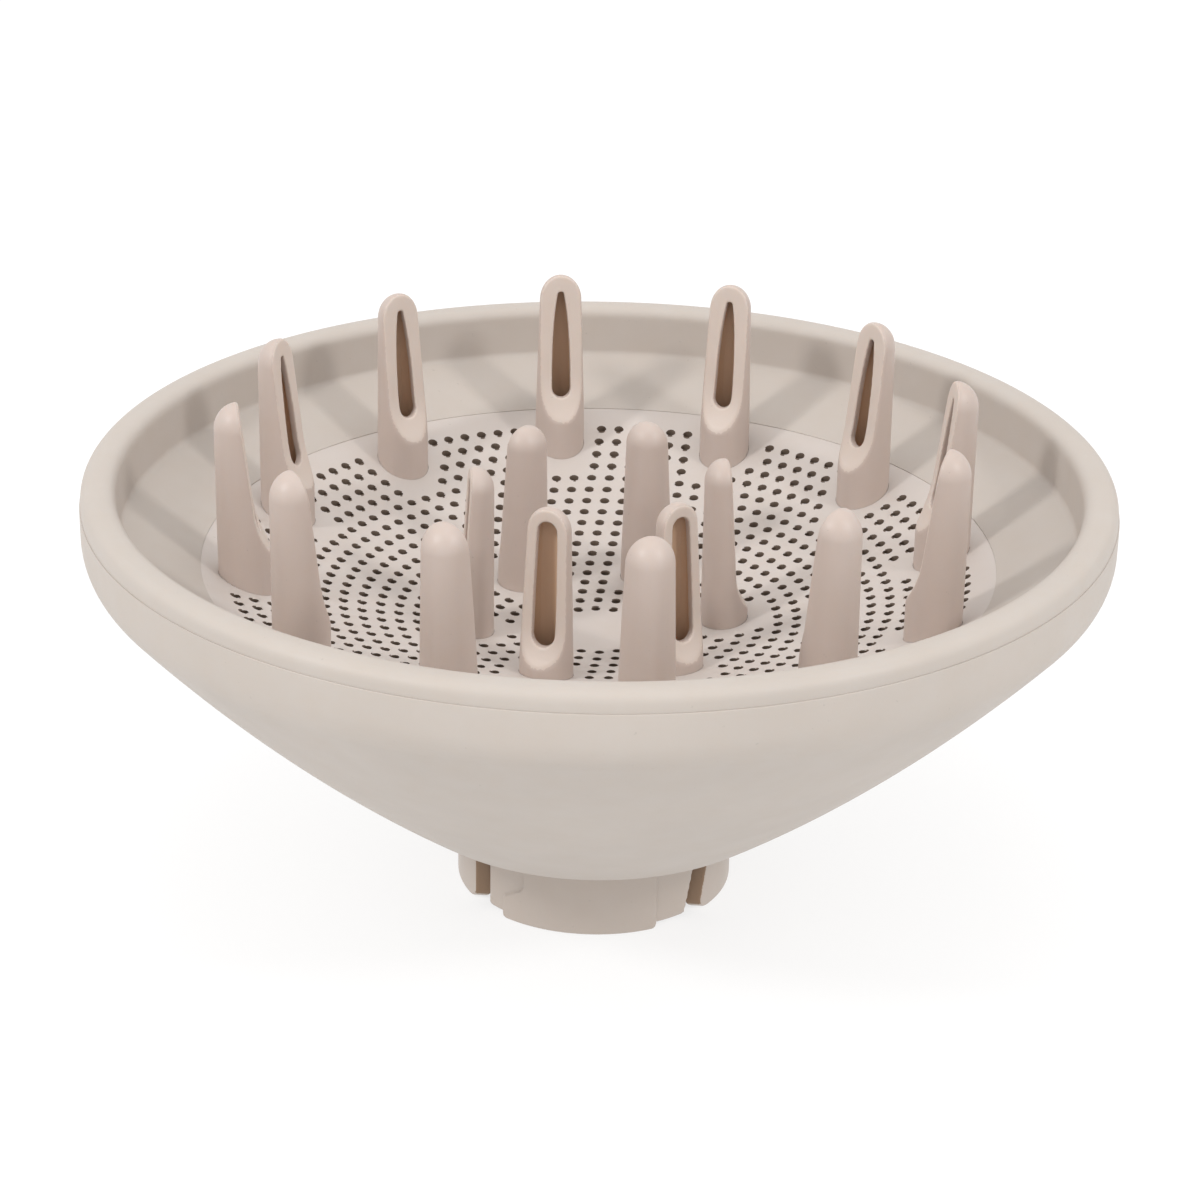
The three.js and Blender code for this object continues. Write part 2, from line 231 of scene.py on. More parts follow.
inner_prong = Sizes(
    count=6,
    first_angle=45.0,
    back_radius=17.1,
    inward=False,
    depth=7.7,
    width=8.8,
    top_width=7.1,
    tip=73.75,
    tip_rise=3.8,
    top_depth=3.8,
    face_depth=5.1,
    face_low=54.5,
    flare_low=47.6,
    slot_low=50.9,
    slot_top=71.6,
    slot_narrowing=62.0,
    slot_width=3.9,
    slot_top_width=3.3,
)

prong = Sizes(
    wall=1.3,
    start=35.0,
    flange_overhang=1.5,
    flange_thickness=1.2,
    edge_rounding=0.5,
    slot_rounding=0.35,
    flare_out=0.3,
    flare_bend=0.4,
    slot_straight=1.0,
    face_skin=0.15,
    margin_below=1.5,
    margin_above=1.0,
    grid_step=0.2,
    faces=9000,
)

deflector = Sizes(
    radius=deflector_high.x,
    stem_radius=3.2,
    apex=deflector_low.z,
    edge=37.4,
    thickness=1.4,
    top=deflector_high.z,
    nose_share=0.55,
    shoulder_share=0.6,
    shoulder_rise=3.0,
    hub_radius=5.2,
    hub_rise=4.0,
    root_radius=4.6,
    root_rise=4.1,
    bend_rise=4.2,
    stem_rise=5.6,
    chamfer=0.4,
    steps=96,
)

# ---------------------------------------------------------------- outlines


def arc(x, y, radius, start, stop, steps=8):
    """Points on a circular arc, with angles in degrees."""
    angles = np.radians(np.linspace(start, stop, steps + 1))
    return [(x + radius * math.cos(a), y + radius * math.sin(a)) for a in angles]


def bezier(points, steps):
    """Points on a quadratic or cubic Bezier curve, both ends included."""
    points = [np.array(p, float) for p in points]
    found = []
    for t in np.linspace(0, 1, steps + 1):
        row = points
        while len(row) > 1:
            row = [a + (b - a) * t for a, b in zip(row, row[1:])]
        found.append(tuple(row[0]))
    return found


def rounded(corners, steps=4):
    """Closed outline through corners (x, y) or (x, y, fillet), each rounded by its fillet."""
    corners = [tuple(c) + (0.0,) * (3 - len(c)) for c in corners]
    outline = []
    for i, (x, y, fillet) in enumerate(corners):
        if fillet == 0:
            outline.append((x, y))
            continue
        here = Vector((x, y))
        back = (Vector(corners[i - 1][:2]) - here).normalized()
        ahead = (Vector(corners[(i + 1) % len(corners)][:2]) - here).normalized()
        half = back.angle(ahead) / 2
        centre = here + (back + ahead).normalized() * fillet / math.sin(half)
        first = here + back * fillet / math.tan(half) - centre
        last = here + ahead * fillet / math.tan(half) - centre
        start = math.atan2(first.y, first.x)
        sweep = math.remainder(math.atan2(last.y, last.x) - start, 2 * math.pi)
        outline += arc(*centre, fillet, math.degrees(start), math.degrees(start + sweep), steps)
    return outline


def dish_height(radius, below=0.0):
    """Height of a face parallel to the plate's upper face, a distance below it."""
    inside = np.minimum(radius, dish.margin_radius)
    return dish.height + dish.sphere - np.sqrt((dish.sphere + below) ** 2 - inside**2)


# ---------------------------------------------------------------- mesh makers


def mesh_piece(name, verts, faces, sharp=30.0):
    """A smooth object from millimetre vertices, with its faces turned outwards."""
    mesh = bpy.data.meshes.new(name)
    mesh.from_pydata((np.asarray(verts) * MM).tolist(), [], faces)
    work = bmesh.new()
    work.from_mesh(mesh)
    bmesh.ops.remove_doubles(work, verts=work.verts, dist=1e-7)
    bmesh.ops.recalc_face_normals(work, faces=work.faces)
    work.to_mesh(mesh)
    work.free()
    mesh.polygons.foreach_set("use_smooth", [True] * len(mesh.polygons))
    mesh.set_sharp_from_angle(angle=math.radians(sharp))
    item = bpy.data.objects.new(name, mesh)
    bpy.context.scene.collection.objects.link(item)
    return item


def lathe(name, profile, steps=TURN_STEPS):
    """Solid of revolution about Z from a closed (radius, height) outline."""
    radius, height = np.array(profile, float).T
    angles = np.linspace(0, 2 * math.pi, steps, endpoint=False)
    x = np.outer(np.cos(angles), radius)
    y = np.outer(np.sin(angles), radius)
    z = np.tile(height, (steps, 1))
    count = len(profile)
    faces = []
    for i in range(steps):
        here, there = i * count, (i + 1) % steps * count
        for j in range(count):
            k = (j + 1) % count
            if radius[j] == 0 and radius[k] == 0:
                continue
            faces.append((here + j, here + k, there + k, there + j))
    return mesh_piece(name, np.stack([x, y, z], -1).reshape(-1, 3), faces)


def outline_distance(outline, x, y):
    """Signed distance from the points (x, y) to a closed outline, negative inside."""
    x, y = np.broadcast_arrays(x, y)
    nearest = np.full(x.shape, np.inf, np.float32)
    inside = np.zeros(x.shape, bool)
    for (ax, ay), (bx, by) in zip(outline, outline[1:] + outline[:1]):
        dx, dy = bx - ax, by - ay
        length = dx * dx + dy * dy
        if length == 0:
            continue
        t = np.clip(((x - ax) * dx + (y - ay) * dy) / length, 0, 1)
        nearest = np.minimum(nearest, (x - ax - t * dx) ** 2 + (y - ay - t * dy) ** 2)
        if ay != by:
            crosses = (ay > y) != (by > y)
            inside ^= crosses & (x < ax + (y - ay) * dx / dy)
    return np.where(inside, -1, 1) * np.sqrt(nearest)


def smooth_max(a, b, rounding):
    """The larger of two fields, with the ridge between them rounded off."""
    blend = np.maximum(rounding - np.abs(a - b), 0) / rounding
    return np.maximum(a, b) + blend * blend * rounding / 4


def smooth_min(a, b, rounding):
    return -smooth_max(-a, -b, rounding)


class Grid:
    """A block of evenly spaced points, on which solids are written as distance fields."""

    def __init__(self, low, high, step):
        self.low = np.array(low, float)
        self.step = step
        counts = np.ceil((np.array(high) - self.low) / step).astype(int) + 1
        axes = [self.low[i] + step * np.arange(counts[i]) for i in range(3)]
        self.x = axes[0][:, None, None].astype(np.float32)
        self.y = axes[1][None, :, None].astype(np.float32)
        self.z = axes[2][None, None, :].astype(np.float32)
        self.shape = tuple(counts)

    def sample(self, field, points):
        """The field at free points, by trilinear interpolation."""
        field = np.broadcast_to(field, self.shape)
        last_cell = np.array(self.shape) - 1.001
        place = np.clip((points - self.low) / self.step, 0, last_cell)
        cell = np.floor(place).astype(int)
        part = place - cell
        found = 0
        for corner in np.ndindex(2, 2, 2):
            weight = np.prod(np.where(corner, part, 1 - part), axis=1)
            found = found + weight * field[tuple((cell + corner).T)]
        return found

    def surface(self, name, field, faces):
        """The field's zero surface, as a mesh of about so many triangles with the field's normals."""
        volume = openvdb.FloatGrid(10.0)
        volume.copyFromArray(np.ascontiguousarray(field, np.float32))
        verts, triangles, quads = volume.convertToPolygons(isovalue=0.0, adaptivity=0.0)
        verts = verts * self.step + self.low
        item = mesh_piece(name + "_dense", verts, quads.tolist() + triangles.tolist(), sharp=180)
        thin = item.modifiers.new("thin", "DECIMATE")
        thin.ratio = min(1.0, faces / (2 * len(quads) + len(triangles)))
        evaluated = item.evaluated_get(bpy.context.evaluated_depsgraph_get())
        mesh = bpy.data.meshes.new_from_object(evaluated)
        bpy.data.objects.remove(item)
        mesh.name = name
        points = np.empty(len(mesh.vertices) * 3)
        mesh.vertices.foreach_get("co", points)
        points = points.reshape(-1, 3) / MM
        slopes = []
        for step in np.eye(3) * self.step * 0.75:
            slopes.append(self.sample(field, points + step) - self.sample(field, points - step))
        normals = np.stack(slopes, -1)
        normals /= np.linalg.norm(normals, axis=1)[:, None]
        mesh.normals_split_custom_set_from_vertices(normals.tolist())
        return mesh


def of_faces(mesh, name):
    """A vector of each face, its centre or its normal, as rows."""
    found = np.empty(len(mesh.polygons) * 3)
    mesh.polygons.foreach_get(name, found)
    return found.reshape(-1, 3)


def paint_faces(mesh, grid, base, *zones):
    """Each zone is a material, a field and a limit. Faces where the field is under it get the material."""
    centres = of_faces(mesh, "center") / MM
    chosen = np.zeros(len(mesh.polygons), int)
    mesh.materials.append(base)
    for number, (material, field, limit) in enumerate(zones, start=1):
        mesh.materials.append(material)
        chosen[grid.sample(field, centres) < limit] = number
    mesh.polygons.foreach_set("material_index", chosen)


def placed(name, mesh, turn=0.0):
    """An object of a mesh, with its turn about Z in the mesh's own object."""
    item = bpy.data.objects.new(name, mesh)
    item.rotation_euler.z = turn
    bpy.context.scene.collection.objects.link(item)
    return item


# ---------------------------------------------------------------- housing, bowl and deflector


def cone_line(inset):
    """The housing's curve from the neck to the rim, set in by a distance."""
    neck_height = cone.floor + cone.neck_fillet
    neck = arc(cone.neck_radius, neck_height, cone.neck_fillet - inset, -90, cone.neck_slope - 90)
    shoulder_radius = rim.radius - cone.shoulder_fillet
    fillet = cone.shoulder_fillet - inset
    shoulder = arc(shoulder_radius, cone.shoulder_height, fillet, cone.shoulder_slope - 90, 0, 10)
    start, stop = Vector(neck[-1]), Vector(shoulder[0])
    handle = (stop - start).length / 3
    leave = math.radians(cone.neck_slope)
    arrive = math.radians(cone.shoulder_slope)
    first = start + handle * Vector((math.cos(leave), math.sin(leave)))
    second = stop - handle * Vector((math.cos(arrive), math.sin(arrive)))
    return neck[:-1] + bezier([start, first, second, stop], 24) + shoulder[1:]


def rear_cone():
    hole = collar.radius + SEAM
    top = cone_high.z
    edge = cone.edge_fillet
    outside = [(hole, cone.floor)] + cone_line(0) + arc(rim.radius - edge, top - edge, edge, 0, 90, 3)
    inside = [(rim.radius - cone.wall, top)] + cone_line(cone.wall)[::-1]
    return lathe("rear_cone_fine", outside + inside + [(hole, cone.floor + cone.wall)])


def lip_line():
    """The rounded lip from its outer side over the top to its inner side."""
    middle = rim.radius - rim.band_inset - rim.lip_width / 2
    base = rim.top - rim.lip_rise
    points = []
    for angle in np.radians(np.linspace(0, 180, 25)):
        power = 2 / rim.lip_squareness
        across = math.copysign(abs(math.cos(angle)) ** power, math.cos(angle))
        up = abs(math.sin(angle)) ** power
        points.append((middle + across * rim.lip_width / 2, base + up * rim.lip_rise))
    return points


def front_bowl():
    lip = lip_line()
    band = lip[0][0]
    plate_clear = dish.radius + SEAM
    outside = plate_clear + bowl.skirt
    rabbet = float(dish_height(dish.radius)) + SEAM / 3
    wall = rounded(
        [
            lip[-1],
            (bowl.crease_radius, bowl.crease_height, bowl.crease_fillet),
            (bowl.edge_radius, bowl.edge_height, bowl.edge_fillet),
            (bowl.edge_radius, rabbet),
        ],
        steps=6,
    )[1:]
    back = [
        (plate_clear, rabbet),
        (plate_clear, bowl.skirt_low),
        (outside, bowl.skirt_low),
        (outside, rabbet),
        (bowl.back_radius, bowl.back_height),
        (bowl.seat_radius, bowl.seat_height),
        (bowl.seat_radius, rim.parting),
    ]
    return lathe("front_bowl_fine", [(band, rim.parting)] + lip + wall + back)


def air_deflector():
    """A shallow cone, apex down, on a stem that plugs into the plate's boss."""
    radius, apex, edge, stem = deflector.radius, deflector.apex, deflector.edge, deflector.stem_radius
    tip = deflector.top
    under = bezier([(0, apex), (radius * deflector.nose_share, apex), (radius, edge)], 16)
    shoulder = (radius * deflector.shoulder_share, apex + deflector.shoulder_rise)
    hub = (deflector.hub_radius, apex + deflector.hub_rise)
    upper = bezier([(radius, edge + deflector.thickness), shoulder, hub], 12)
    root = (deflector.root_radius, apex + deflector.root_rise)
    bend = (stem, apex + deflector.bend_rise)
    neck = bezier([root, bend, (stem, apex + deflector.stem_rise)], 5)
    top = [(stem, tip - deflector.chamfer), (stem - deflector.chamfer, tip), (0, tip)]
    return lathe("air_deflector_fine", under + upper + neck + top, deflector.steps)


# ---------------------------------------------------------------- perforated plate


def prong_angles(kind):
    """Angle of each prong from +X, turned from the front."""
    return [math.radians(kind.first_angle - 90 + 360 / kind.count * i) for i in range(kind.count)]


def prong_middle(kind):
    return kind.back_radius + (-kind.depth if kind.inward else kind.depth) / 2


def circle(x, y, radius, sides):
    angles = np.arange(sides) * 2 * math.pi / sides
    return [(x + radius * math.cos(a), y + radius * math.sin(a)) for a in angles]


def near_prong(x, y):
    """True where a hole would run into a prong or the plain patch round its foot."""
    for kind in (outer_prong, inner_prong):
        for angle in prong_angles(kind):
            along = x * math.cos(angle) + y * math.sin(angle) - prong_middle(kind)
            across = y * math.cos(angle) - x * math.sin(angle)
            reach = kind.depth / 2 + perforation.front_margin
            if math.hypot(along / reach, across / (kind.width / 2 + perforation.side_margin)) < 1:
                return True
    return False


def hole_centres():
    centres = []
    for ring in range(perforation.rings):
        radius = perforation.first_ring + perforation.ring_step * ring
        count = perforation.first_count + perforation.count_step * ring
        for i in range(count):
            angle = (i + ring % 2 / 2) * 2 * math.pi / count
            x, y = radius * math.cos(angle), radius * math.sin(angle)
            if not near_prong(x, y):
                centres.append((x, y))
    return centres


def prong_opening(kind, angle):
    """The plate's opening round one prong: an ellipse of the prong's section, with a hairline round it."""
    cos, sin = math.cos(angle), math.sin(angle)
    points = []
    for x, y in circle(0, 0, 1, 40):
        along = prong_middle(kind) + x * (kind.depth / 2 + SEAM)
        across = y * (kind.width / 2 + SEAM)
        points.append((along * cos - across * sin, along * sin + across * cos))
    return points


def perforated_plate():
    """A dished sheet with every hole cut through, as one flat triangulation bent to the dish."""
    centres = hole_centres()
    mouth = perforation.radius + perforation.chamfer
    loops = [circle(x, y, mouth, perforation.sides) for x, y in centres]
    openings = [prong_opening(kind, a) for kind in (outer_prong, inner_prong) for a in prong_angles(kind)]
    edge = circle(0, 0, dish.radius, TURN_STEPS)
    free = [p for radius in perforation.blank_rings for p in circle(0, 0, radius, 12)] + [(0, 0)]
    free += circle(0, 0, dish.margin_radius, TURN_STEPS)
    verts, edges, owner = [], [], []
    for number, loop in enumerate(loops + openings + [edge]):
        start = len(verts)
        verts += loop
        edges += [(start + i, start + (i + 1) % len(loop)) for i in range(len(loop))]
        owner += [number] * len(loop)
    verts += free
    owner += [-1] * len(free)
    made = delaunay_2d_cdt([Vector(v) for v in verts], edges, [], 0, 1e-6)
    flat, faces, source = np.array([tuple(v) for v in made[0]]), made[2], [ids[0] for ids in made[3]]
    whole = len(loops) + len(openings)
    kept = []
    for face in faces:
        owners = {owner[source[i]] for i in face}
        if len(owners) > 1 or owners & {-1, whole}:
            kept.append(tuple(face))
    place = {original: i for i, original in enumerate(source)}
    radius = np.hypot(*flat.T)
    count = len(flat)
    top = np.column_stack([flat, dish_height(radius)])
    bottom = np.column_stack([flat, dish_height(radius, dish.thickness)])
    points = [*top, *bottom]
    solid = kept + [tuple(i + count for i in reversed(face)) for face in kept]
    start = 0
    for number, loop in enumerate(loops + openings + [edge]):
        ring = [place[start + i] for i in range(len(loop))]
        start += len(loop)
        upper = ring
        if number < len(loops):
            upper = list(range(len(points), len(points) + len(loop)))
            x, y = centres[number]
            for px, py in circle(x, y, perforation.radius, perforation.sides):
                points.append((px, py, dish_height(math.hypot(x, y)) - perforation.chamfer))
            solid += [(ring[i - 1], ring[i], upper[i], upper[i - 1]) for i in range(len(ring))]
        solid += [(upper[i - 1], upper[i], ring[i] + count, ring[i - 1] + count) for i in range(len(ring))]
    item = mesh_piece("perforated_plate_fine", points, solid)
    middles = of_faces(item.data, "center") / MM
    # The upright walls of the holes and prong openings get a near-black colour: painted shade inside the
    # holes.
    upright = np.abs(of_faces(item.data, "normal")[:, 2]) < perforation.wall_tilt
    inner = np.hypot(middles[:, 0], middles[:, 1]) < dish.radius - dish.edge_band
    item.data.materials.append(plate_plastic)
    item.data.materials.append(plate_hole_painted_shade)
    item.data.polygons.foreach_set("material_index", (upright & inner).astype(int))
    return item


def plate_boss():
    """The round socket under the plate's middle that holds the deflector's stem."""
    low = dish.height - dish.thickness - dish.boss_depth
    high = dish.height - dish.thickness + dish.boss_overlap
    bore = deflector.stem_radius + SEAM
    outer = [(dish.boss_radius, low, dish.boss_fillet), (dish.boss_radius, high)]
    inner = [(bore, high), (bore, low, dish.socket_fillet)]
    return lathe("plate_boss", rounded(outer + inner), deflector.steps)


# ---------------------------------------------------------------- prongs
# A prong's field is written with its back at x = 0 and its slot towards +x.


def ellipse_field(x, y, z, a, b, rise):
    """Nearly the distance to an upright ellipse of half widths a and b, domed where z is above 0."""
    x, y, z = x / a, y / b, np.maximum(z, 0) / rise
    size = np.sqrt(x**2 + y**2 + z**2)
    slope = np.sqrt((x / a) ** 2 + (y / b) ** 2 + (z / rise) ** 2) + 1e-6
    return size * (size - 1) / slope


def column_field(grid, kind, inset):
    """An elliptical column with its back upright, drawn in towards a domed tip."""
    base = kind.tip - kind.tip_rise
    share = np.clip((grid.z - kind.flare_low) / (base - kind.flare_low), 0, 1)
    taper = 1 - share * (1 - kind.top_width / kind.width)
    a, b = kind.depth / 2 * taper, kind.width / 2 * taper
    return ellipse_field(grid.x - a, grid.y, grid.z - base, a - inset, b - inset, kind.tip_rise - inset)


def face_outline(kind, inset):
    """Side view of what the slot face leaves: it leans in upwards, and flares out at its foot."""
    front = kind.depth - inset + prong.flare_out
    face, crown = kind.face_depth - inset, kind.top_depth - inset
    drop = kind.face_low - kind.flare_low
    lean = (kind.face_depth - kind.top_depth) / (kind.tip - kind.face_low)
    bend_share = prong.flare_bend
    bend = (face + lean * drop * (1 - bend_share), kind.flare_low + drop * bend_share)
    flare = bezier([(front, kind.flare_low), bend, (face, kind.face_low)], 12)
    back = -prong.flange_overhang - REACH
    top = kind.tip + prong.margin_above
    return [(back, prong.start), (front, prong.start)] + flare + [(crown, top), (back, top)]


def slot_outline(kind):
    """The slot seen from the front: a round foot, straight sides and a narrowing upper half."""
    half, top_half = kind.slot_width / 2, kind.slot_top_width / 2
    low, high = kind.slot_low + half, kind.slot_top - top_half
    foot = arc(0, low, half, 180, 360, 12)
    right = bezier([(half, low + prong.slot_straight), (half, kind.slot_narrowing), (top_half, high)], 10)
    head = arc(0, high, top_half, 0, 180, 8)
    left = [(-x, z) for x, z in reversed(right)]
    return foot + right + head[1:-1] + left


def prong_form(grid, kind, inset, rounding):
    face = outline_distance(face_outline(kind, inset), grid.x, grid.z)
    return smooth_max(column_field(grid, kind, inset), face, rounding)


def prong_mesh(name, kind):
    margin = prong.flange_overhang + GRID_MARGIN
    reach = kind.width / 2 + margin
    low_radius = prong_middle(kind) - kind.depth / 2 - margin
    below = dish.thickness + prong.flange_thickness + prong.margin_below
    low = (-margin, -reach, float(dish_height(max(low_radius, 0))) - below)
    grid = Grid(low, (kind.depth + margin, reach, kind.tip + GRID_MARGIN), prong.grid_step)
    along = kind.back_radius - grid.x if kind.inward else kind.back_radius + grid.x
    depth_below = dish_height(np.hypot(along, grid.y)) - grid.z
    flange_top = dish.thickness + SEAM
    flange_bottom = flange_top + prong.flange_thickness
    form = prong_form(grid, kind, 0, prong.edge_rounding)
    form = smooth_max(form, depth_below - flange_bottom, SOFT_BLEND)
    flange = np.maximum(flange_top - depth_below, depth_below - flange_bottom)
    flange = smooth_max(flange, column_field(grid, kind, -prong.flange_overhang), BLEND)
    slot = outline_distance(slot_outline(kind), grid.y, grid.z)
    slot = np.maximum(slot, kind.top_depth / 2 - grid.x)
    hollow = prong_form(grid, kind, prong.wall, prong.edge_rounding)
    body = smooth_max(smooth_min(form, flange, SOFT_BLEND), -hollow, SOFT_BLEND)
    body = smooth_max(body, -slot, prong.slot_rounding)
    mesh = grid.surface(name, body, prong.faces)
    # Faces near the slot face get a lighter copy of the prong colour: painted light.
    face = outline_distance(face_outline(kind, 0), grid.x, grid.z)
    # Faces in the hollow get a warm brown: painted shade and a painted warm glow of light through the
    # plastic.
    zones = [(prong_face_painted_light, -face, prong.face_skin), (prong_inside_painted_shade, hollow, prong.face_skin)]
    paint_faces(mesh, grid, prong_plastic, *zones)
    if kind.inward:
        mesh.transform(Matrix.Rotation(math.pi, 4, "Z"))
    mesh.transform(Matrix.Translation((kind.back_radius * MM, 0, 0)))
    return mesh


# ---------------------------------------------------------------- collar and tabs
# The collar's fields are written with a foot towards -Y and a tab towards +X, before its turn.


def window_outline():
    """Side view of the window that a tab and its two slots leave in the collar."""
    low, high = tab.edge_low + tab.slot, tab.edge_high + tab.slot
    foot, top = collar.slot_foot, tab.root + SEAM
    return [(-low, foot), (low, foot), (low, top), (-high, top)]


def pad_outline():
    """A pad unrolled, as angle times radius against height, with its stepped left edge."""
    angles = (-collar.step_foot_angle, collar.foot_angle, -collar.jog_angle)
    left, right, jog = (math.radians(angle) * collar.pad_radius for angle in angles)
    top = cone.floor + collar.pad_above_floor
    return rounded(
        [
            (left, collar.foot, collar.pad_corner),
            (right, collar.foot, collar.pad_corner),
            (right, top),
            (jog, top),
            (jog, collar.jog_high, collar.jog_corner),
            (left, collar.jog_low, collar.jog_corner),
        ]
    )


def collar_tube(radius, height):
    """The collar's outside, turned: tube and flange, before the pads."""
    tube = smooth_max(radius - collar.radius, collar.edge - height, collar.rounding)
    tube = smooth_max(tube, height - collar.top, collar.rounding)
    above_flange = height - collar.flange_low - collar.flange_thickness
    flange = np.maximum(collar.flange_low - height, above_flange)
    flange = smooth_max(flange, radius - collar.flange_radius, collar.flange_rounding)
    return smooth_min(tube, flange, BLEND)


def collar_mesh(name):
    reach = collar.flange_radius + GRID_MARGIN
    low = (-reach, -reach, collar.foot - LOW_MARGIN)
    grid = Grid(low, (reach, reach, collar.top + LOW_MARGIN), collar.grid_step)
    radius, height = np.hypot(grid.x, grid.y), grid.z
    nozzle = np.maximum(radius - collar.bore, height - collar.ledge)
    bore = smooth_min(radius - collar.ledge_bore, nozzle, BLEND)
    outside = collar_tube(radius, height)
    for turn in (0, math.pi):
        angle = np.arctan2(grid.y, grid.x) + math.pi / 2 - turn
        angle = (angle + math.pi) % (2 * math.pi) - math.pi
        plan = outline_distance(pad_outline(), angle * collar.pad_radius, height)
        plan = np.where(np.abs(angle) > collar.pad_half_turn, REACH, plan)
        pad = smooth_max(plan, radius - collar.pad_radius, collar.pad_rounding)
        outside = smooth_min(outside, pad, collar.pad_blend)
    body = smooth_max(outside, -bore, collar.rounding)
    window = window_outline()
    mirrored = [(-y, z) for y, z in window]
    right = np.where(grid.x > 0, outline_distance(window, grid.y, grid.z), REACH)
    left = np.where(grid.x < 0, outline_distance(mirrored, grid.y, grid.z), REACH)
    cutter = np.minimum(right, left)
    body = smooth_max(body, -cutter, BLEND)
    mesh = grid.surface(name, body, collar.faces)
    above_slots = tab.root - SLOT_MARGIN - height
    # The cut faces of the slots get a dark brown: painted shade inside the slots.
    paint_faces(mesh, grid, collar_plastic, (slot_painted_shade, cutter, SKIN), (collar_plastic, above_slots, 0))
    mesh.transform(Matrix.Rotation(collar.turn, 4, "Z"))
    return mesh


def tab_mesh(name):
    """The right-hand tab: a sector of the collar's wall with round corners and a bead inside."""
    low_x = math.sqrt(collar.bore**2 - tab.edge_low**2) - tab.margin_inside
    reach = tab.edge_low + GRID_MARGIN
    high = (collar.tab_radius + LOW_MARGIN, reach, tab.root + LOW_MARGIN)
    grid = Grid((low_x, -reach, tab.low - LOW_MARGIN), high, tab.grid_step)
    radius, height = np.hypot(grid.x, grid.y), grid.z
    middle = (tab.bead_low + tab.bead_high) / 2
    half = (tab.bead_high - tab.bead_low) / 2
    bead = tab.bead * np.clip(1 - ((height - middle) / half) ** 2, 0, 1)
    wall = smooth_max(radius - collar.tab_radius, collar.bore - bead - radius, tab.rounding)
    outline = rounded(
        [
            (-tab.edge_low, tab.low, tab.corner),
            (tab.edge_low, tab.low, tab.corner),
            (tab.edge_low, tab.root),
            (-tab.edge_high, tab.root),
        ],
        steps=10,
    )
    side = outline_distance(outline, grid.y, grid.z)
    mesh = grid.surface(name, smooth_max(wall, side, tab.rounding), tab.faces)
    ends = np.minimum(height - tab.low - tab.corner / 2, tab.root - SLOT_MARGIN - height)
    # The tab's cut sides get the same dark brown: painted shade inside the slots.
    paint_faces(mesh, grid, collar_plastic, (slot_painted_shade, -side, SKIN), (collar_plastic, ends, 0))
    mesh.transform(Matrix.Rotation(collar.turn, 4, "Z"))
    return mesh


# ---------------------------------------------------------------- materials


class Nodes:
    """Short forms for building one material's node tree."""

    def __init__(self, name):
        self.material = bpy.data.materials.new(name)
        self.material.use_nodes = True
        self.tree = self.material.node_tree
        self.shader = self.tree.nodes["Principled BSDF"]
        self.place = self.tree.nodes.new("ShaderNodeTexCoord").outputs["Object"]

    def link(self, source, target):
        self.tree.links.new(source, target)

    def noise(self, size, detail=3.0, roughness=0.55):
        """Noise whose features are about so many millimetres across."""
        node = self.tree.nodes.new("ShaderNodeTexNoise")
        node.inputs["Scale"].default_value = 1 / (size * MM)
        node.inputs["Detail"].default_value = detail
        node.inputs["Roughness"].default_value = roughness
        self.link(self.place, node.inputs["Vector"])
        return node.outputs["Fac"]

    def spread(self, value, low, high, to_low, to_high):
        node = self.tree.nodes.new("ShaderNodeMapRange")
        for socket, number in zip(("From Min", "From Max", "To Min", "To Max"), (low, high, to_low, to_high)):
            node.inputs[socket].default_value = number
        self.link(value, node.inputs["Value"])
        return node.outputs["Result"]

    def mix(self, share, first, second):
        node = self.tree.nodes.new("ShaderNodeMix")
        node.data_type = "RGBA"
        self.link(share, node.inputs["Factor"])
        for socket, colour in (("A", first), ("B", second)):
            target = next(s for s in node.inputs if s.name == socket and s.type == "RGBA")
            if isinstance(colour, tuple):
                target.default_value = (*colour, 1)
            else:
                self.link(colour, target)
        return next(s for s in node.outputs if s.type == "RGBA")

    def bump(self, height, distance, strength, under=None):
        node = self.tree.nodes.new("ShaderNodeBump")
        node.inputs["Distance"].default_value = distance * MM
        node.inputs["Strength"].default_value = strength
        self.link(height, node.inputs["Height"])
        if under is not None:
            self.link(under, node.inputs["Normal"])
        return node.outputs["Normal"]


# How many millimetres across each kind of mottling is, and how deep the ripples and the grain are.
texture = Sizes(
    clouds=26,
    streaks=5,
    specks=0.9,
    gloss=9,
    ripples=7,
    ripple_depth=0.35,
    grain=0.35,
    grain_depth=0.02,
)


def scaled(colour, factor):
    return tuple(channel * factor for channel in colour)


def moulded_plastic(name, colour, roughness, glow):
    """Satin moulded plastic: cloudy pigment, faint specks, fine spark-eroded grain and flow ripples."""
    nodes = Nodes(name)
    clouds = nodes.spread(nodes.noise(texture.clouds, 4), 0.3, 0.7, 0, 1)
    body = nodes.mix(clouds, scaled(colour, 0.972), scaled(colour, 1.02))
    streaks = nodes.spread(nodes.noise(texture.streaks, 5), 0.35, 0.75, 0, 0.35)
    warm = (colour[0] * 0.97, colour[1] * 0.93, colour[2] * 0.88)
    body = nodes.mix(streaks, body, warm)
    specks = nodes.spread(nodes.noise(texture.specks, 2), 0.72, 0.78, 0, 0.45)
    body = nodes.mix(specks, body, scaled(colour, 0.72))
    nodes.link(body, nodes.shader.inputs["Base Color"])
    gloss = nodes.spread(nodes.noise(texture.gloss, 4), 0.3, 0.7, roughness - 0.05, roughness + 0.06)
    nodes.link(gloss, nodes.shader.inputs["Roughness"])
    ripples = nodes.bump(nodes.noise(texture.ripples, 2), texture.ripple_depth, 0.12)
    grain = nodes.bump(nodes.noise(texture.grain, 3), texture.grain_depth, 0.5, under=ripples)
    nodes.link(grain, nodes.shader.inputs["Normal"])
    nodes.shader.inputs["IOR"].default_value = 1.49
    nodes.shader.inputs["Subsurface Weight"].default_value = glow
    nodes.shader.inputs["Subsurface Radius"].default_value = (1.0, 0.6, 0.4)
    nodes.shader.inputs["Subsurface Scale"].default_value = 1.2 * MM
    return nodes.material


